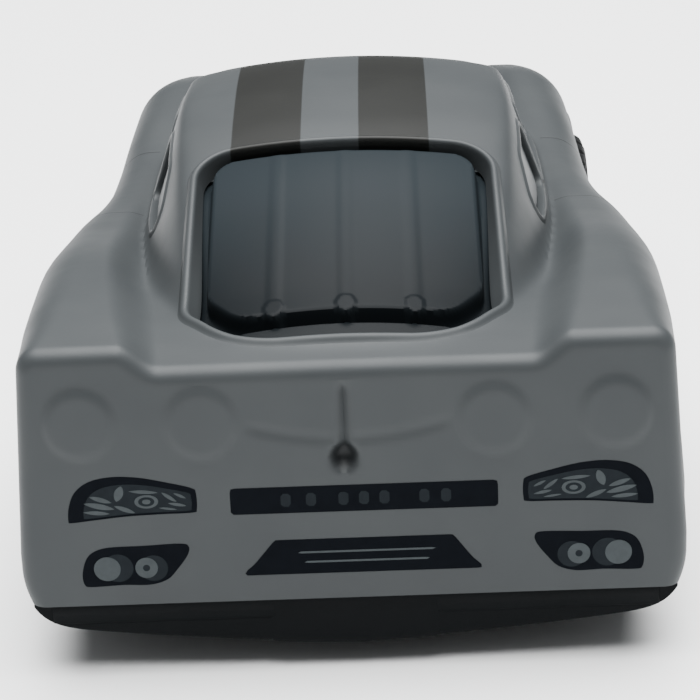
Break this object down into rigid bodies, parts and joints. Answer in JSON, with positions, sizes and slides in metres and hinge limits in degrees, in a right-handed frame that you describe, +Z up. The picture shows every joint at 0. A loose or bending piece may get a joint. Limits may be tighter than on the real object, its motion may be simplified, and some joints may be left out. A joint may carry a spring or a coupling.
{
  "type": "pull-back toy car",
  "caption": "Toy sports car with smoked glazing, black chassis, spoked wheels and a geared spring motor on its rear axle.",
  "frame": {"origin": "on the ground under the middle of the car's length and width", "axes": "+Y towards the nose, +X to the car's right, +Z up"},
  "size_m": [0.0572, 0.112, 0.0378],
  "materials": {
    "shell_plastic": "silver-grey pigmented plastic, satin",
    "smoked_plastic": "dark smoked, polished",
    "tub_plastic": "black, moulded",
    "chassis_plastic": "black, moulded",
    "screw_steel": "zinc plated",
    "case_plastic": "light grey, moulded",
    "spring_steel": "blued strip",
    "axle_steel": "drawn rod",
    "gear_nylon": "white, moulded",
    "rim_plastic": "silvered",
    "tyre_rubber": "black, soft"
  },
  "bodies": {
    "car": {"body_shell": "shell_plastic", "window_insert": "smoked_plastic", "interior_tub": "tub_plastic", "chassis": "chassis_plastic", "chassis_screw_front": "screw_steel", "chassis_screw_rear_left": "screw_steel", "chassis_screw_rear_right": "screw_steel", "motor_case": "case_plastic", "motor_lid": "case_plastic", "mainspring": "spring_steel", "transfer_pin": "axle_steel"},
    "front_wheels": {"front_axle": "axle_steel", "wheel_rim_front_left": "rim_plastic", "wheel_rim_front_right": "rim_plastic", "tyre_front_left": "tyre_rubber", "tyre_front_right": "tyre_rubber"},
    "rear_wheels": {"rear_axle": "axle_steel", "axle_gear": "gear_nylon", "wheel_rim_rear_left": "rim_plastic", "wheel_rim_rear_right": "rim_plastic", "tyre_rear_left": "tyre_rubber", "tyre_rear_right": "tyre_rubber"},
    "clutch": {"clutch_gear": "gear_nylon"},
    "transfer": {"transfer_gear": "gear_nylon"},
    "spring": {"spring_gear": "gear_nylon"}
  },
  "joints": [
    {"name": "rear_axle_spin", "type": "hinge", "parent": "car", "child": "rear_wheels", "pos_m": [0, -0.034, 0.0093], "axis": [1, 0, 0], "continuous": true},
    {"name": "front_axle_spin", "type": "hinge", "parent": "car", "child": "front_wheels", "pos_m": [0, 0.028, 0.0093], "axis": [1, 0, 0], "continuous": true},
    {"name": "clutch_spin", "type": "hinge", "parent": "car", "child": "clutch", "pos_m": [0, -0.03236, 0.01463], "axis": [1, 0, 0], "continuous": true},
    {"name": "transfer_spin", "type": "hinge", "parent": "car", "child": "transfer", "pos_m": [0, -0.0243, 0.0117], "axis": [1, 0, 0], "continuous": true},
    {"name": "spring_spin", "type": "hinge", "parent": "car", "child": "spring", "pos_m": [0, -0.01599, 0.01112], "axis": [1, 0, 0], "continuous": true}
  ],
  "couplings": [
    {"joint": "clutch_spin", "follows": "rear_axle_spin", "ratio": -0.83333},
    {"joint": "transfer_spin", "follows": "rear_axle_spin", "ratio": 0.45455},
    {"joint": "spring_spin", "follows": "rear_axle_spin", "ratio": -0.17045}
  ]
}
